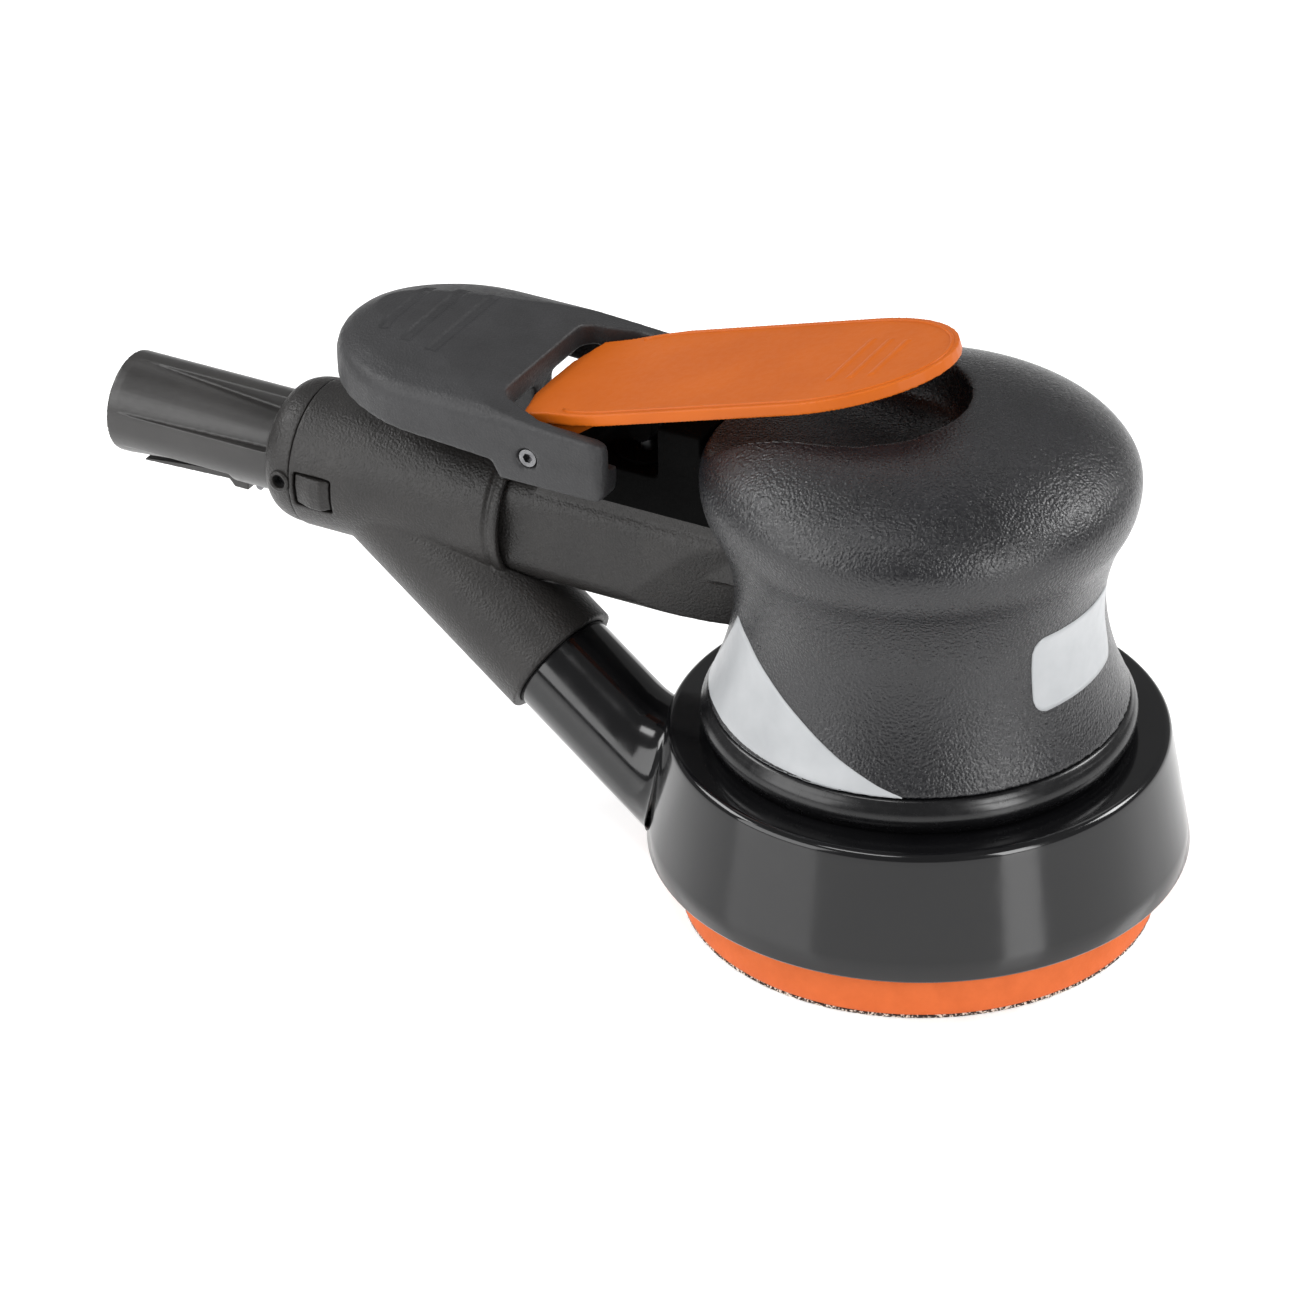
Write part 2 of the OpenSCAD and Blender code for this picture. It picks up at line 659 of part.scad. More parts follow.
module valve_spring() color("silver") translate([valve_x, 0, 0]) polyhedron(
    points = [for (k = [0 : spring_steps], p = spring_ring(k)) p],
    faces = concat(
        [[for (j = [0 : wire_sides - 1]) j]],
        [for (k = [0 : spring_steps - 1], j = [0 : wire_sides - 1]) let (n = wire_sides, m = (j + 1) % n)
            [k * n + j, (k + 1) * n + j, (k + 1) * n + m, k * n + m]],
        [[for (j = [wire_sides - 1 : -1 : 0]) spring_steps * wire_sides + j]]
    )
);

// ---------- air line ----------

module inlet_bushing() color("silver") difference() {
    union() {
        bar(-118, -112, bushing_r);
        translate([bushing_x, 0, 0]) along_handle() cylinder(h = -118 - bushing_x, r = 9.2, $fn = 6);
    }
    bar(bushing_x - 1, bushing_x + thread_depth, inlet_thread_r);
    bar(bushing_x - 1, -111, 3.2);
}

module inlet_screen() color("silver") bar(-112, -111.3, bushing_r - 0.1);

module muffler_insert() color("peru")
    translate([0, 0, exhaust_z - handle_z]) bar(-100.8, -94.2, exhaust_r + 0.45);

// Plug across the inlet with a cross bore, and a slotted knob on the far side
module speed_regulator() color("#2e2e30") difference() {
    union() {
        cross_bar(regulator_x, handle_z, -5.2, handle_half + 0.3, regulator_r);
        cross_bar(regulator_x, handle_z, handle_half + 0.3, handle_half + 3.3, 5.6);
    }
    bar(-80, -60, inlet_r);
    translate([regulator_x, handle_half + 3.3, handle_z]) cube([1.4, 2, 12], center = true);
}

motor_housing();
grip_cover();
lock_ring();
shroud();
vacuum_sleeve();
end_ring();
ring_pin();
latch_pin();
hand_rest();
lever_pin();
motor_cylinder();
upper_end_plate();
lower_end_plate();
cylinder_dowel();
upper_bearing_outer();
lower_bearing_outer();
valve_seat();
valve_cap();
valve_spring();
inlet_bushing();
inlet_screen();
muffler_insert();
throttle_lever();
valve_stem();
valve_seal();
speed_regulator();
release_latch();
hose_fitting();
rotor();
rotor_vanes();
rotor_key();
upper_bearing_inner();
lower_bearing_inner();
balancer();
spindle_bearing_outer();
bearing_clip();
spindle();
spindle_bearing_inner();
pad_plate();
pad_foam();
hook_face();
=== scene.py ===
"""Looks of an air-powered random orbital palm sander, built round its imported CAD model."""

import math
import random

import bmesh
import bpy
from mathutils import Matrix, Vector
from mathutils.bvhtree import BVHTree


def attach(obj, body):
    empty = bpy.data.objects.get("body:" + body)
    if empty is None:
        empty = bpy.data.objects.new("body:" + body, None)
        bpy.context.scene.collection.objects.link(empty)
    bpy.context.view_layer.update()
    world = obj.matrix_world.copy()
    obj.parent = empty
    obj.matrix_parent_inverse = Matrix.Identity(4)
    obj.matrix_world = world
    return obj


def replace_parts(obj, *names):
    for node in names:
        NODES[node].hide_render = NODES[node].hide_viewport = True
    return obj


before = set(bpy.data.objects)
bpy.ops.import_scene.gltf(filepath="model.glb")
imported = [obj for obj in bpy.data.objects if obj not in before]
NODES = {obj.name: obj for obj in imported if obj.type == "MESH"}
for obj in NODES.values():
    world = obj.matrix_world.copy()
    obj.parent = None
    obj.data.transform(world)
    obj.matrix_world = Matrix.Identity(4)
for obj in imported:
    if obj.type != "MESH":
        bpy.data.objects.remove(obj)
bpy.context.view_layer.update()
MM = 0.001

# Driving sizes and places, in millimetres, as in the CAD frame
HANDLE_Z = 59.2
PIN_X, PIN_Z = -69.4, 83.0
LEVER_SLOPE = math.radians(17.4)
LEVER_TOP = 6.5
LEVER_HALF = 18.4
LEVER_STRAIGHT = 55.8
LEVER_NOSE = 25
PAD_AXIS = (0.595, -1.031)

# Steps of a full turn in the turned shapes
TURNS = 160


# ---------- small helpers ----------

def add_mesh(name, mesh, body):
    """A new piece in the CAD frame that rides on a body."""
    piece = bpy.data.objects.new(name, mesh)
    bpy.context.collection.objects.link(piece)
    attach(piece, body)
    return piece


def mesh_of(name, bm):
    """The mesh that a bmesh holds, with its faces turned outwards."""
    bmesh.ops.recalc_face_normals(bm, faces=bm.faces)
    mesh = bpy.data.meshes.new(name)
    bm.to_mesh(mesh)
    bm.free()
    return mesh


def applied(mesh, modifiers):
    """The mesh after a list of (type, settings) modifiers."""
    holder = bpy.data.objects.new("holder", mesh)
    bpy.context.collection.objects.link(holder)
    for kind, settings in modifiers:
        modifier = holder.modifiers.new(kind, kind)
        for key, value in settings.items():
            setattr(modifier, key, value)
    graph = bpy.context.evaluated_depsgraph_get()
    result = bpy.data.meshes.new_from_object(holder.evaluated_get(graph))
    bpy.data.objects.remove(holder)
    return result


def moulded(name, cad_node, body, voxel, rounds, material):
    """A copy of a CAD node whose edges take a soft radius, as moulded plastic and rubber have."""
    mesh = applied(NODES[cad_node].data.copy(), [
        ("REMESH", {"mode": "VOXEL", "voxel_size": voxel * MM, "adaptivity": 0.0}),
        ("SMOOTH", {"factor": 0.5, "iterations": rounds}),
    ])
    mesh.shade_smooth()
    piece = add_mesh(name, mesh, body)
    paint(piece, material)
    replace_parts(piece, cad_node)
    return piece


def revolved(bm, profile, steps=TURNS, center=(0, 0), axis="Z"):
    """Adds a closed profile of (radius, height) points, in millimetres, turned about Z or Y."""
    rings = []
    for k in range(steps):
        a = 2 * math.pi * k / steps
        ring = []
        for r, h in profile:
            u = center[0] + r * math.cos(a)
            v = center[1] + r * math.sin(a)
            point = (u, v, h) if axis == "Z" else (u, h, v)
            ring.append(bm.verts.new([c * MM for c in point]))
        rings.append(ring)
    stitch(bm, rings, closed=True)


def stitch(bm, rings, closed=False):
    """Joins rings of equal length with quads, and caps the ends of an open row."""
    pairs = list(zip(rings, rings[1:]))
    if closed:
        pairs.append((rings[-1], rings[0]))
    for a, b in pairs:
        for i in range(len(a)):
            j = (i + 1) % len(a)
            bm.faces.new((a[i], a[j], b[j], b[i]))
    if not closed:
        bm.faces.new(rings[0])
        bm.faces.new(list(reversed(rings[-1])))


def swept(bm, points, radius, sides=10):
    """Adds a round bead along points given in millimetres."""
    points = [Vector(p) for p in points]
    rings = []
    for i, p in enumerate(points):
        before = points[max(i - 1, 0)]
        after = points[min(i + 1, len(points) - 1)]
        along = (after - before).normalized()
        across = along.cross(Vector((0, 0, 1))).normalized()
        upward = across.cross(along)
        ring = []
        for k in range(sides):
            a = 2 * math.pi * k / sides
            place = p + radius * (math.cos(a) * across + math.sin(a) * upward)
            ring.append(bm.verts.new(place * MM))
        rings.append(ring)
    stitch(bm, rings)


def arc(cx, cz, r, a0, a1, n=8):
    """Points of an arc, from one angle to another in degrees."""
    turn = [math.radians(a0 + (a1 - a0) * k / n) for k in range(n + 1)]
    return [(cx + r * math.cos(a), cz + r * math.sin(a)) for a in turn]


def finished(name, bm, body, material):
    """A smooth-shaded, painted piece from a bmesh."""
    mesh = mesh_of(name, bm)
    mesh.shade_smooth()
    piece = add_mesh(name, mesh, body)
    paint(piece, material)
    return piece


def sculpt(piece, move):
    """Moves each vertex by what the function says of its place, in millimetres, and its normal."""
    mesh = piece.data
    normals = [v.normal.copy() for v in mesh.vertices]
    for vertex, normal in zip(mesh.vertices, normals):
        shift = move(vertex.co / MM, normal)
        if shift is not None:
            vertex.co += Vector(shift) * MM
    mesh.update()


def smooth_step(value, low, high):
    """0 up to low, 1 from high on, and a smooth rise between."""
    t = min(max((value - low) / (high - low), 0), 1)
    return t * t * (3 - 2 * t)


def band(distance, half, edge):
    """1 within half of a line, falling to 0 over the edge's width."""
    return 1 - smooth_step(abs(distance), half, half + edge)


def paint(piece, material):
    piece.data.materials.clear()
    piece.data.materials.append(material)


def paint_node(cad_node, material):
    for slot in NODES[cad_node].material_slots:
        slot.material = material


def paint_part(piece, material, chosen):
    """Gives a second material to the faces whose centre, in millimetres, passes a test."""
    piece.data.materials.append(material)
    for face in piece.data.polygons:
        if chosen(face.center / MM):
            face.material_index = 1


# ---------- materials ----------

def new_material(name, color, roughness, specular=0.5, metallic=0.0):
    material = bpy.data.materials.new(name)
    material.use_nodes = True
    shader = material.node_tree.nodes["Principled BSDF"]
    shader.inputs["Base Color"].default_value = (*color, 1)
    shader.inputs["Roughness"].default_value = roughness
    shader.inputs["Specular IOR Level"].default_value = specular
    shader.inputs["Metallic"].default_value = metallic
    return material


def add_node(material, kind, **sockets):
    made = material.node_tree.nodes.new(kind)
    for key, value in sockets.items():
        made.inputs[key.replace("_", " ")].default_value = value
    return made


def link(material, a, b):
    material.node_tree.links.new(a, b)


def shader_of(material):
    return material.node_tree.nodes["Principled BSDF"]


def object_coordinates(material):
    return add_node(material, "ShaderNodeTexCoord").outputs["Object"]


def add_bump(material, height, distance, strength):
    """Chains a bump onto the shader's normal, on top of any bump already there."""
    shader = shader_of(material)
    bump = add_node(material, "ShaderNodeBump", Strength=strength, Distance=distance * MM)
    link(material, height, bump.inputs["Height"])
    for wire in list(shader.inputs["Normal"].links):
        link(material, wire.from_socket, bump.inputs["Normal"])
    link(material, bump.outputs["Normal"], shader.inputs["Normal"])


def vary(material, source, low, high, socket, span=(0.3, 0.7)):
    """Runs a shader socket between two values, or two colours, by a texture's value."""
    shader = shader_of(material)
    ramp = add_node(material, "ShaderNodeValToRGB")
    ramp.color_ramp.elements[0].position = span[0]
    ramp.color_ramp.elements[1].position = span[1]
    grey = [(v, v, v) if isinstance(v, float) else v for v in (low, high)]
    ramp.color_ramp.elements[0].color = (*grey[0], 1)
    ramp.color_ramp.elements[1].color = (*grey[1], 1)
    link(material, source, ramp.inputs["Fac"])
    link(material, ramp.outputs["Color"], shader.inputs[socket])


def noise(material, scale, detail=3.0, roughness=0.6):
    """Noise whose features are about scale millimetres across."""
    texture = add_node(material, "ShaderNodeTexNoise", Scale=1 / (scale * MM), Detail=detail)
    texture.inputs["Roughness"].default_value = roughness
    link(material, object_coordinates(material), texture.inputs["Vector"])
    return texture.outputs["Fac"]


def cells(material, scale, feature="F1"):
    """Cells about scale millimetres across."""
    texture = add_node(material, "ShaderNodeTexVoronoi", Scale=1 / (scale * MM))
    texture.feature = feature
    link(material, object_coordinates(material), texture.inputs["Vector"])
    return texture.outputs["Distance"]


# Size of the patches of tone and of gloss on grained plastic, in millimetres
TONE_SIZE = 9
GLOSS_SIZE = 0.9


def grained(name, dark, light, roughness, grain, depth, specular):
    """Black moulded plastic or rubber with a leather-like grain."""
    material = new_material(name, dark, roughness, specular=specular)
    vary(material, noise(material, TONE_SIZE, 2), dark, light, "Base Color")
    vary(material, noise(material, GLOSS_SIZE), roughness - 0.05, roughness + 0.07, "Roughness")
    add_bump(material, cells(material, grain, "SMOOTH_F1"), -depth, 1.0)
    add_bump(material, noise(material, grain * 0.6, 2), depth * 0.6, 0.8)
    return material


def marbled(name, dark, light, size, roughness, fine, depth, **options):
    """A plain finish with slow colour variation, uneven gloss and a fine surface texture."""
    material = new_material(name, dark, roughness, **options)
    vary(material, noise(material, size), dark, light, "Base Color")
    vary(material, noise(material, fine * 2), roughness - 0.04, roughness + 0.05, "Roughness")
    add_bump(material, noise(material, fine), depth, 0.5)
    return material


GRIP = grained("grip_rubber", (0.005, 0.005, 0.0062), (0.008, 0.008, 0.0098), 0.28, 0.48, 0.15, 0.52)
HANDLE = grained("handle_plastic", (0.012, 0.011, 0.0105), (0.018, 0.0165, 0.0155), 0.42, 0.44, 0.10, 0.36)
REST = grained("rest_plastic", (0.017, 0.017, 0.018), (0.024, 0.024, 0.0255), 0.46, 0.42, 0.07, 0.38)
# Near-black and almost matt: painted shade for the valve block, the lever's foot and the valve cap beneath
# the lever, where the lever shades them
HOUSING_SHADE = grained("housing_painted_shade", (0.002, 0.002, 0.002), (0.003, 0.003, 0.003), 0.75, 0.5, 0.03, 0.03)

FITTING = marbled("fitting_plastic", (0.021, 0.020, 0.0195), (0.029, 0.0275, 0.0265), 14, 0.34, 0.5, 0.012,
                  specular=0.42)
GLOSS = marbled("shroud_gloss", (0.003, 0.003, 0.0035), (0.005, 0.005, 0.0055), 25, 0.11, 3, 0.004,
                specular=0.43)
RING = marbled("ring_black", (0.003, 0.003, 0.0035), (0.005, 0.005, 0.0055), 6, 0.24, 0.8, 0.01,
               specular=0.4)
ORANGE = marbled("lever_orange", (0.44, 0.089, 0.0045), (0.49, 0.104, 0.006), 20, 0.42, 0.7, 0.02,
                 specular=0.2)
SEAL = marbled("seal_rubber", (0.006, 0.006, 0.006), (0.010, 0.010, 0.010), 3, 0.55, 0.6, 0.01,
               specular=0.25)
RESIN = marbled("vane_resin", (0.2, 0.11, 0.05), (0.32, 0.2, 0.1), 0.8, 0.5, 0.5, 0.01)
LABEL = marbled("silver_label", (0.33, 0.34, 0.35), (0.38, 0.39, 0.40), 8, 0.34, 0.9, 0.012,
                specular=0.4)
STEEL = marbled("bright_steel", (0.42, 0.42, 0.43), (0.5, 0.5, 0.51), 4, 0.28, 0.4, 0.005, metallic=1.0)
PIN_STEEL = marbled("pin_steel", (0.12, 0.12, 0.125), (0.18, 0.18, 0.185), 1.5, 0.24, 0.3, 0.01, metallic=1.0)
DARK_STEEL = marbled("oiled_steel", (0.10, 0.10, 0.105), (0.17, 0.17, 0.175), 4, 0.34, 0.5, 0.005,
                     metallic=1.0)
BRONZE = marbled("sintered_bronze", (0.38, 0.23, 0.09), (0.6, 0.4, 0.2), 0.4, 0.55, 0.3, 0.04,
                 metallic=1.0)

# Pad foam with a fine cloth-like surface
PAD = marbled("pad_orange", (0.55, 0.110, 0.024), (0.62, 0.130, 0.031), 5, 0.66, 0.3, 0.04, specular=0.2)
add_bump(PAD, cells(PAD, 0.45), 0.05, 0.6)

# Hook pile: dark with pale hook tips
HOOK = new_material("hook_pile", (0.05, 0.035, 0.03), 0.85, specular=0.2)
vary(HOOK, noise(HOOK, 0.45, 1), (0.035, 0.022, 0.018), (0.8, 0.7, 0.6), "Base Color", (0.5, 0.62))
add_bump(HOOK, cells(HOOK, 0.5), 0.2, 1.0)


# ---------- moulded bodies from the CAD shapes ----------

# Grooves across the rest's crown: X and half-length of each
REST_GROOVES = [(-107, 9), (-101, 11), (-95, 12)]
REST_CROWN_Z = 88
# Bars across the lever's nose: distance from the pin and half-length of each
LEVER_BARS = [(58, 9), (62, 8.4), (66, 7.6)]
SLEEVE_GROOVE_X = -83.4
FLAT_TOP = 0.7


def rest_marks(p, normal):
    """Three shallow grooves across the rest's crown."""
    if normal.z < FLAT_TOP or p.z < REST_CROWN_Z:
        return None
    for x, half in REST_GROOVES:
        depth = band(p.x - x, 0.7, 0.6) * band(p.y, half - 0.6, 0.6)
        if depth > 0:
            return (0, 0, -0.45 * depth)
    return None


def lever_marks(p, normal):
    """Three thin raised bars across the lever's nose."""
    if normal.z < FLAT_TOP:
        return None
    along = (p.x - PIN_X) / math.cos(LEVER_SLOPE)
    for place, half in LEVER_BARS:
        height = band(along - place, 0.35, 0.45) * band(p.y, half - 0.5, 0.5)
        if height > 0:
            return 0.22 * height * normal
    return None


def sleeve_groove(p, normal):
    """A shallow groove behind the sleeve's front lip."""
    radial = Vector((0, p.y, p.z - HANDLE_Z))
    if radial.length < 13.6 or radial.length > 14.6:
        return None
    depth = band(p.x - SLEEVE_GROOVE_X, 0.25, 0.55)
    return -0.35 * depth * radial.normalized() if depth > 0 else None


def raised_tabs(p, normal):
    """The ring's snap tabs swell outwards towards their front ends."""
    radial = Vector((0, p.y, p.z - HANDLE_Z))
    if p.x < -126 or radial.length < 13.2:
        return None
    swell = smooth_step(p.x, -125.5, -121) * (1 - smooth_step(p.x, -119.4, -117.6))
    return 0.85 * swell * radial.normalized()


# Faces of the lever's foot, which take near-black painted shade instead of the lever's orange
def in_lever_foot_shade(p):
    return abs(p.x + 56) < 3 and abs(p.y) < 4 and p.z < 91.2


# Faces of the valve block between the rest's arms, which take the painted shade under the lever
def in_valve_block_shade(p):
    return p.z > 70.3 and -77 < p.x < -36


def make_moulded():
    """The moulded parts. The lever's foot and the valve block between the rest's arms are painted black as
    painted shade under the lever.
    """
    grip = moulded("grip", "grip_cover", "housing", 0.55, 6, GRIP)
    rest = moulded("hand_rest_shell", "hand_rest", "housing", 0.32, 24, REST)
    sculpt(rest, rest_marks)
    sleeve = moulded("sleeve", "vacuum_sleeve", "housing", 0.32, 3, HANDLE)
    sculpt(sleeve, sleeve_groove)
    body = moulded("handle_body", "motor_housing", "housing", 0.45, 3, HANDLE)
    # The valve block gets near-black painted shade, where the lever shades it
    paint_part(body, HOUSING_SHADE, in_valve_block_shade)
    ring = moulded("rear_ring", "end_ring", "housing", 0.22, 2, HANDLE)
    sculpt(ring, raised_tabs)
    lever = moulded("lever", "throttle_lever", "lever", 0.25, 3, ORANGE)
    sculpt(lever, lever_marks)
    # The lever's foot gets near-black painted shade, where it sits in the dark under the lever
    paint_part(lever, HOUSING_SHADE, in_lever_foot_shade)
    moulded("swivel_fitting", "hose_fitting", "fitting", 0.2, 2, FITTING)
    moulded("latch_finger", "release_latch", "latch", 0.14, 2, FITTING)
    return grip


# ---------- grip labels ----------

LABEL_ROWS = 14
LABEL_PROUD = 0.12
LABEL_THICK = 0.3
LABEL_FOOT = 42.75
# Upper edge of the side labels: angle from the nose and height
SWOOSH = [(67.5, 43), (74, 44.5), (86, 48), (100, 52.7), (114, 57), (128, 60.8), (139, 62.5), (160, 46)]
# Nose label: first and last angle, lower and upper height
NOSE = (-27, 17, 54, 69)
NOSE_ROUND = 3.0
MM_PER_DEGREE = 0.6


def label(name, grip, columns, foot, top):
    """A thin silver skin on the grip between two heights that depend on the angle about the axis."""
    tree = BVHTree.FromObject(grip, bpy.context.evaluated_depsgraph_get())
    bm = bmesh.new()
    grid = []
    for angle in columns:
        a = math.radians(angle)
        outward = Vector((math.cos(a), math.sin(a), 0))
        low, high = foot(angle), top(angle)
        column = []
        for k in range(LABEL_ROWS + 1):
            z = low + (high - low) * k / LABEL_ROWS
            start = outward * 0.06 + Vector((0, 0, z * MM))
            hit, normal, _, _ = tree.ray_cast(start, -outward)
            column.append(bm.verts.new(hit + normal * LABEL_PROUD * MM))
        grid.append(column)
    for a, b in zip(grid, grid[1:]):
        for k in range(LABEL_ROWS):
            bm.faces.new((a[k], b[k], b[k + 1], a[k + 1]))
    thick = applied(mesh_of(name, bm), [("SOLIDIFY", {"thickness": LABEL_THICK * MM, "offset": -1.0})])
    thick.shade_smooth()
    piece = add_mesh(name, thick, "housing")
    paint(piece, LABEL)


def swoosh_top(angle):
    """Height of a side label's upper edge."""
    angle = abs(angle)
    for (a0, z0), (a1, z1) in zip(SWOOSH, SWOOSH[1:]):
        if angle <= a1:
            return z0 + (z1 - z0) * (angle - a0) / (a1 - a0)
    return SWOOSH[-1][1]


def nose_inset(angle):
    """How much a rounded corner takes off the nose label's height at an angle."""
    edge = min(angle - NOSE[0], NOSE[1] - angle) * MM_PER_DEGREE
    if edge >= NOSE_ROUND:
        return 0
    return NOSE_ROUND - math.sqrt(max(NOSE_ROUND ** 2 - (NOSE_ROUND - edge) ** 2, 0.01))


def spread(first, last, count):
    """Evenly spaced values from first to last."""
    return [first + (last - first) * k / count for k in range(count + 1)]


def make_labels(grip):
    side = spread(SWOOSH[0][0], SWOOSH[-1][0], 80)
    label("label_near", grip, [-a for a in side], lambda a: LABEL_FOOT, swoosh_top)
    label("label_far", grip, side, lambda a: LABEL_FOOT, swoosh_top)
    label("label_nose", grip, spread(NOSE[0], NOSE[1], 60),
          lambda a: NOSE[2] + nose_inset(a), lambda a: NOSE[3] - nose_inset(a))


# ---------- shroud, lock ring and pad as turned shapes ----------

# Radius and height of the shroud's side at its rim and shoulder
SHELL_RIM = (50.3, 11.5)
SHELL_SHOULDER = (46.43, 34.1)
# Dust tube: it leaves the handle's axis downwards, turned to the near side
TUBE_AXIS = Vector((math.sin(math.radians(120.4)), 0, math.cos(math.radians(120.4))))
TUBE_AXIS.rotate(Matrix.Rotation(math.radians(-9.75), 3, "Z"))
TUBE_START = Vector((-116.2, 0, HANDLE_Z))
TUBE_R = 10.4
TUBE_FROM = 40.5
TUBE_SIDES = 96
# The tube widens into the shroud over this length, more above than below
FILLET = 7.0
FLARE = 2.4
STRAIGHT_STEPS = 8
FILLET_STEPS = 19


def shell_radius(z):
    """Outer radius of the shroud's side at a height."""
    t = (z - SHELL_RIM[1]) / (SHELL_SHOULDER[1] - SHELL_RIM[1])
    return SHELL_RIM[0] + (SHELL_SHOULDER[0] - SHELL_RIM[0]) * t


def tube_reach(offset):
    """Distance along the dust tube at which a line beside its axis meets the shroud's side."""
    distance = 60.0
    while distance < 100:
        p = TUBE_START + offset + TUBE_AXIS * distance
        if math.hypot(p.x, p.y) < shell_radius(p.z):
            return distance
        distance += 0.1
    return distance


def add_shell(bm):
    """The shroud's side, shoulder and roof, from the rim outside to the rim inside."""
    outer = [(48.3, 10.9), (49.6, 10.9), (50.1, 11.1)]
    outer += [(shell_radius(z), z) for z in (11.5, 15, 20, 25, 30, 33)] + arc(44.85, 33.9, 1.6, 10, 90, 10)
    inner = [(36.2, 35.5), (34.7, 35.3), (34.6, 33.5), (44.2, 33.5), (46.5, 22), (48.3, 12)]
    revolved(bm, outer + inner)


def add_dust_tube(bm):
    """The dust tube, whose end follows the shroud's side."""
    across = TUBE_AXIS.cross(Vector((0, 0, 1))).normalized()
    upward = across.cross(TUBE_AXIS)
    turn = [2 * math.pi * k / TUBE_SIDES for k in range(TUBE_SIDES)]
    sides = [math.cos(a) * across + math.sin(a) * upward for a in turn]
    ends = [tube_reach(TUBE_R * side) + 0.6 for side in sides]
    rings = []
    for step in range(STRAIGHT_STEPS + FILLET_STEPS + 1):
        ring = []
        for a, side, end in zip(turn, sides, ends):
            if step < STRAIGHT_STEPS:
                distance = TUBE_FROM + (end - FILLET - TUBE_FROM) * step / STRAIGHT_STEPS
            else:
                distance = end - FILLET * (STRAIGHT_STEPS + FILLET_STEPS - step) / FILLET_STEPS
            near = max(0, 1 - (end - distance) / FILLET)
            flare = FLARE * (1 - math.sqrt(max(0, 1 - near * near))) * smooth_step(math.sin(a), -0.7, 0.1)
            ring.append(bm.verts.new((TUBE_START + TUBE_AXIS * distance + (TUBE_R + flare) * side) * MM))
        rings.append(ring)
    stitch(bm, rings)


def make_shroud():
    bm = bmesh.new()
    add_shell(bm)
    add_dust_tube(bm)
    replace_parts(finished("shroud_shell", bm, "housing", GLOSS), "shroud")


def make_lock_ring():
    """The ring's collar, with a rounded outer edge, and the neck and skirt that carry it."""
    bm = bmesh.new()
    profile = [(31.0, 26.6), (34.5, 26.6), (34.5, 35.6), (38.6, 35.6), (39.0, 35.7)]
    profile += arc(36.8, 39.0, 3.4, -46, 46, 14)
    profile += [(38.9, 42.0), (38.4, 42.35), (29.45, 42.4), (29.45, 50.0), (20.0, 50.0), (20.0, 41.0)]
    profile += [(31.0, 41.0)]
    revolved(bm, profile)
    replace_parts(finished("ring_collar", bm, "housing", RING), "lock_ring")


def make_foam_pad():
    bm = bmesh.new()
    foam = [(1.0, 0.7), (43.6, 0.7), (44.2, 1.0), (44.42, 1.7), (44.45, 4.0), (44.4, 7.5), (44.1, 10.5)]
    foam += [(43.5, 12.0), (42.4, 12.55), (36.1, 12.6), (36.05, 11.0), (1.0, 11.0)]
    revolved(bm, foam, center=PAD_AXIS)
    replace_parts(finished("foam_pad", bm, "pad", PAD), "pad_foam")


def make_hook_pile():
    """The hook fabric: a thin disc with stiff tufts round its edge."""
    bm = bmesh.new()
    revolved(bm, [(0.5, 0.08), (43.9, 0.08), (44.05, 0.3), (43.9, 0.75), (0.5, 0.75)], center=PAD_AXIS)
    draw = random.Random(7)
    for _ in range(900):
        add_tuft(bm, draw)
    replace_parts(finished("hook_pile", bm, "pad", HOOK), "hook_face")


def add_tuft(bm, draw):
    """One stiff hook at the pad's lower edge: a small three-sided spike."""
    a = draw.uniform(0, 2 * math.pi)
    z = draw.uniform(0.15, 0.65)
    wide = draw.uniform(0.06, 0.12)
    reach = draw.uniform(44.15, 44.4)
    outward = Vector((math.cos(a), math.sin(a), 0))
    sideways = Vector((-math.sin(a), math.cos(a), 0))
    center = Vector((*PAD_AXIS, z))
    foot = center + outward * 43.7
    tip = center + outward * reach + Vector((0, 0, draw.uniform(-0.1, 0.1)))
    corners = [foot + sideways * wide, foot - sideways * wide, foot + Vector((0, 0, wide))]
    base = [bm.verts.new(p * MM) for p in corners]
    point = bm.verts.new(tip * MM)
    bm.faces.new(base)
    for i in range(3):
        bm.faces.new((base[i], point, base[(i + 1) % 3]))


# ---------- small details ----------

def make_pin_hole_rim():
    """Raised rim round the spring pin's hole in the rear ring."""
    bm = bmesh.new()
    profile = [(1.35, -12.4), (1.35, -14.3)] + arc(1.75, -14.3, 0.4, 180, 360, 8) + [(2.15, -12.4)]
    revolved(bm, profile, 40, (-128.2, HANDLE_Z), "Y")
    finished("pin_hole_rim", bm, "housing", HANDLE)


def lever_point(along, y, up):
    """A point in the lever's own frame, as CAD-frame millimetres."""
    x = PIN_X + along * math.cos(LEVER_SLOPE) - up * math.sin(LEVER_SLOPE)
    z = PIN_Z + along * math.sin(LEVER_SLOPE) + up * math.cos(LEVER_SLOPE)
    return (x, y, z)


def make_lever_bead():
    """Thin raised line that follows the lever's edge, just inside it."""
    inset = 1.3
    half = LEVER_HALF - inset
    nose = LEVER_STRAIGHT
    side = [(6.5, 15.0), (8.2, 16.0), (12, half - 0.35), (16, half), (nose * 0.5, half), (nose, half)]
    turn = [math.radians(a) for a in range(85, -90, -5)]
    path = [(s, -y) for s, y in side]
    path += [(nose + (LEVER_NOSE - inset) * math.cos(a), -half * math.sin(a)) for a in turn]
    path += [(s, y) for s, y in reversed(side)]
    bm = bmesh.new()
    swept(bm, [lever_point(s, y, LEVER_TOP - 0.08) for s, y in path], 0.36)
    finished("lever_bead", bm, "lever", ORANGE)


make_labels(make_moulded())
make_shroud()
make_lock_ring()
make_foam_pad()
make_hook_pile()
make_pin_hole_rim()
make_lever_bead()


# ---------- paint of the nodes that keep their CAD shape ----------

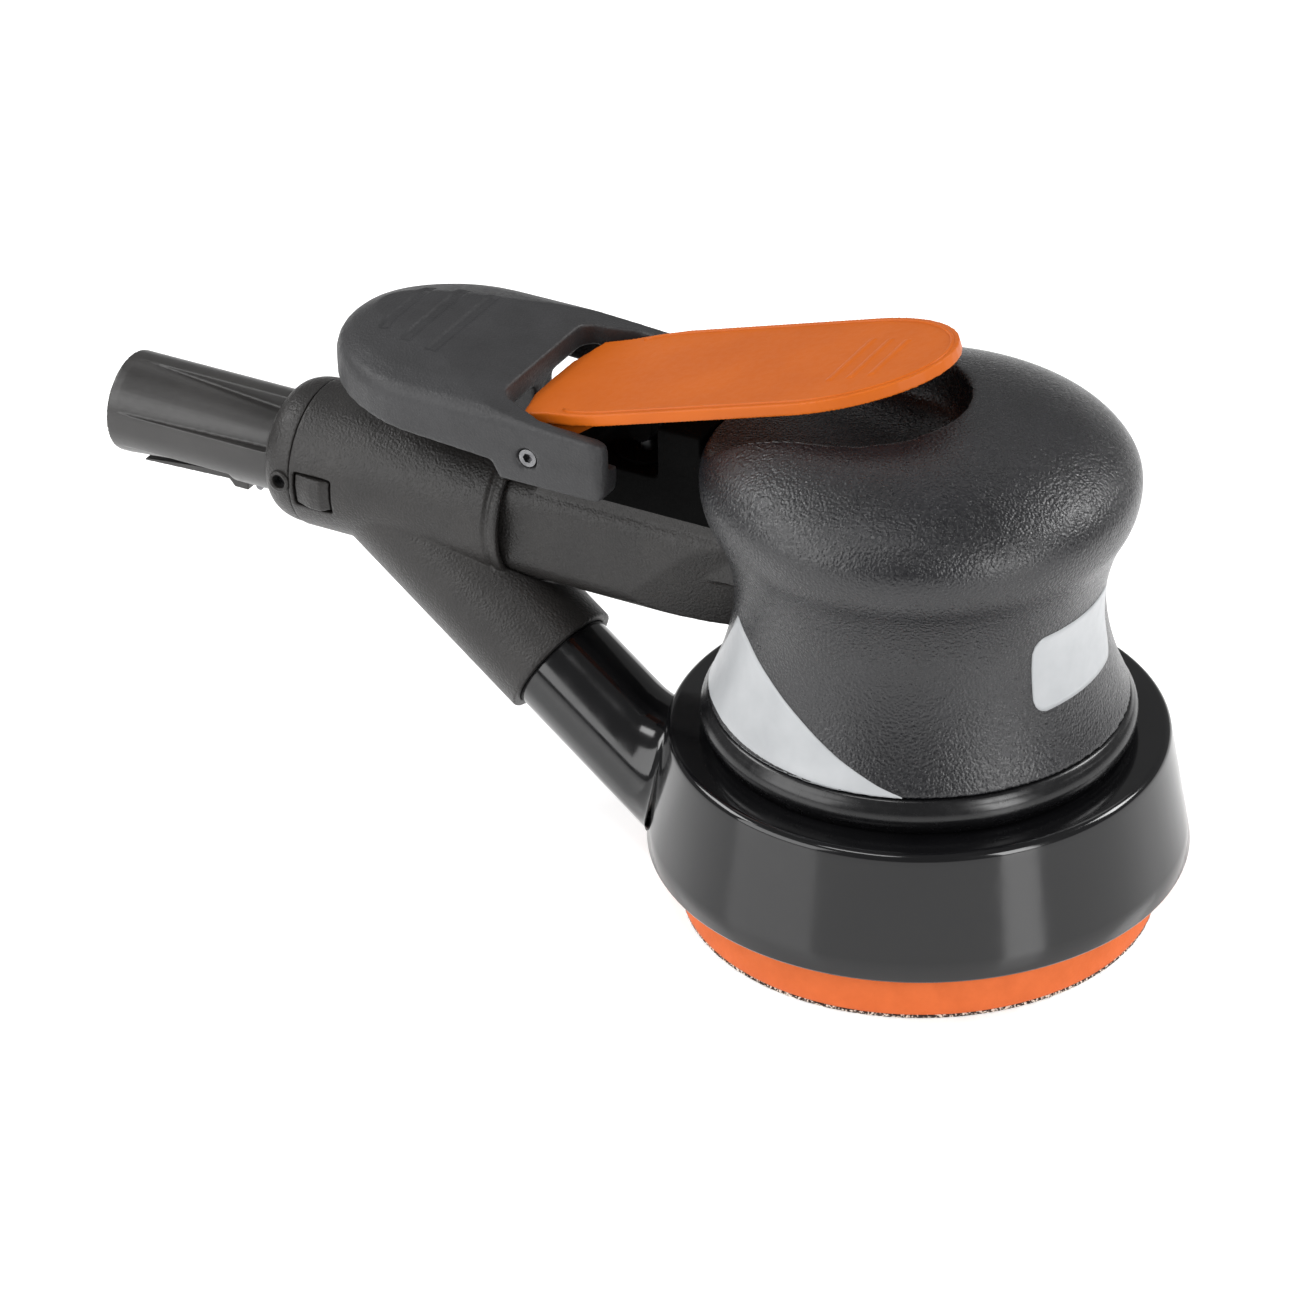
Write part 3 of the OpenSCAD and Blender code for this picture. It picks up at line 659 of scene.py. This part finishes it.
PAINTED = [
    (STEEL, ["cylinder_dowel", "upper_bearing_outer", "lower_bearing_outer", "valve_spring",
             "inlet_bushing", "inlet_screen", "rotor_key", "upper_bearing_inner",
             "lower_bearing_inner", "spindle_bearing_outer", "spindle", "spindle_bearing_inner"]),
    (DARK_STEEL, ["ring_pin", "latch_pin", "motor_cylinder", "upper_end_plate", "lower_end_plate",
                  "valve_stem", "rotor", "balancer", "bearing_clip"]),
    (PIN_STEEL, ["lever_pin"]),
    (BRONZE, ["valve_seat", "muffler_insert"]),
    (SEAL, ["valve_seal", "pad_plate"]),
    (RESIN, ["rotor_vanes"]),
    # The valve cap under the lever takes the near-black painted shade
    (HOUSING_SHADE, ["valve_cap"]),
    (FITTING, ["speed_regulator"]),
]
for material, cad_nodes in PAINTED:
    for cad_node in cad_nodes:
        paint_node(cad_node, material)


# ---------- floor, light and camera ----------

# Each soft light: name, place in metres, width, height and power in watts
LIGHTS = [
    ("softbox_left", (-0.75, -1.06, 0.58), 1.0, 0.9, 12),
    ("softbox_right", (1.22, -0.45, 0.56), 0.4, 0.9, 12),
    ("side_left", (-1.02, -0.20, 0.85), 0.6, 0.35, 6.5),
    ("side_right", (0.78, 0.70, 0.80), 0.4, 0.4, 9),
    ("strip_above", (-0.12, -0.50, 1.15), 0.5, 0.2, 3),
    ("strip_behind", (-0.34, 0.66, 1.07), 1.2, 0.25, 1.5),
]
LIGHT_TARGET = Vector((0, 0, 0.05))
WORLD_LIGHT = 0.3
FLOOR_GLOW = 0.42

# The view: turned from the side, raised above the floor, and rolled, in degrees
VIEW_TURN, VIEW_TILT, VIEW_ROLL = 29.6, 31.11, -0.98
VIEW_DISTANCE = 1200
VIEW_CENTER = Vector((-60, 0, 50))
VIEW_OFFSET = (3.05, -14.1)
LENS = 178.34


def make_floor():
    bm = bmesh.new()
    bmesh.ops.create_grid(bm, x_segments=1, y_segments=1, size=6)
    mesh = bpy.data.meshes.new("floor")
    bm.to_mesh(mesh)
    bm.free()
    floor = bpy.data.objects.new("floor", mesh)
    floor.location.z = -0.0002
    bpy.context.collection.objects.link(floor)
    material = new_material("pale_floor", (0.93, 0.93, 0.93), 0.22, specular=0.6)
    shader_of(material).inputs["Emission Color"].default_value = (1, 1, 1, 1)
    shader_of(material).inputs["Emission Strength"].default_value = FLOOR_GLOW
    floor.data.materials.append(material)


def make_light(name, place, width, height, power):
    """A rectangular soft light that faces the object."""
    light = bpy.data.lights.new(name, "AREA")
    light.energy = power
    light.shape = "RECTANGLE"
    light.size = width
    light.size_y = height
    lamp = bpy.data.objects.new(name, light)
    lamp.location = place
    lamp.rotation_euler = (LIGHT_TARGET - Vector(place)).to_track_quat("-Z", "Y").to_euler()
    bpy.context.collection.objects.link(lamp)


def make_world():
    world = bpy.data.worlds.new("studio")
    world.use_nodes = True
    background = world.node_tree.nodes["Background"]
    background.inputs["Color"].default_value = (1, 1, 1, 1)
    background.inputs["Strength"].default_value = WORLD_LIGHT
    bpy.context.scene.world = world


def make_camera():
    turn, tilt, roll = (math.radians(a) for a in (VIEW_TURN, VIEW_TILT, VIEW_ROLL))
    right = Vector((math.cos(turn), math.sin(turn), 0))
    ahead = Vector((-math.sin(turn) * math.cos(tilt), math.cos(turn) * math.cos(tilt), -math.sin(tilt)))
    up = right.cross(ahead)
    across = math.cos(roll) * right + math.sin(roll) * up
    upward = math.cos(roll) * up - math.sin(roll) * right
    target = VIEW_CENTER + VIEW_OFFSET[0] * right + VIEW_OFFSET[1] * up
    camera_data = bpy.data.cameras.new("camera")
    camera_data.sensor_width = 36
    camera_data.lens = LENS
    camera_data.clip_end = 50
    camera = bpy.data.objects.new("camera", camera_data)
    turn_matrix = Matrix((across, upward, -ahead)).transposed()
    camera.matrix_world = Matrix.Translation((target - ahead * VIEW_DISTANCE) * MM) @ turn_matrix.to_4x4()
    bpy.context.collection.objects.link(camera)
    bpy.context.scene.camera = camera


make_floor()
make_world()
make_camera()
bpy.context.scene.view_settings.view_transform = "Standard"
for light in LIGHTS:
    make_light(*light)
